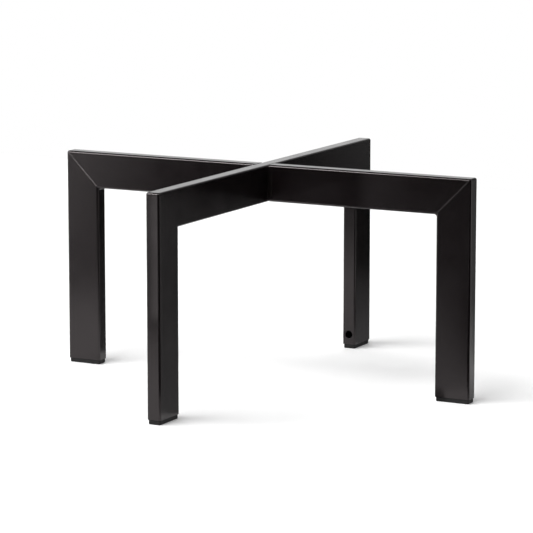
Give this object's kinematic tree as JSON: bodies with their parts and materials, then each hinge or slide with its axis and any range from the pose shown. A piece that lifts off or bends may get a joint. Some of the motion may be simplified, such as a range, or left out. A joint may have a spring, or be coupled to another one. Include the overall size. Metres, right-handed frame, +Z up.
{
  "type": "burner stand",
  "caption": "Low rigid cross-shaped stand of black rectangular steel tube, with a mitred leg at each end of its crossed beams and plastic feet.",
  "frame": {"origin": "on the floor, under the middle of the crossing of the beams", "axes": "+Z up; the through beam runs along Y, with the front leg at -Y and the back leg at +Y; the other beam runs along X, with the left leg at -X and the right leg at +X"},
  "size_m": [0.615, 0.615, 0.3],
  "materials": {
    "powder_coated_steel": "satin black powder coat on mild steel tube",
    "coated_weld": "satin black powder coat over ground weld",
    "foot_plastic": "matte black moulded polyethylene"
  },
  "bodies": {
    "root": {"through_beam": "powder_coated_steel", "cross_beam_left": "powder_coated_steel", "cross_beam_right": "powder_coated_steel", "leg_front": "powder_coated_steel", "leg_back": "powder_coated_steel", "leg_left": "powder_coated_steel", "leg_right": "powder_coated_steel", "mitre_weld_front": "coated_weld", "mitre_weld_back": "coated_weld", "mitre_weld_left": "coated_weld", "mitre_weld_right": "coated_weld", "crossing_fillet_front_left": "coated_weld", "crossing_fillet_front_right": "coated_weld", "crossing_fillet_back_left": "coated_weld", "crossing_fillet_back_right": "coated_weld", "crossing_seam_left": "coated_weld", "crossing_seam_right": "coated_weld", "foot_front": "foot_plastic", "foot_back": "foot_plastic", "foot_left": "foot_plastic", "foot_right": "foot_plastic"}
  },
  "joints": []
}
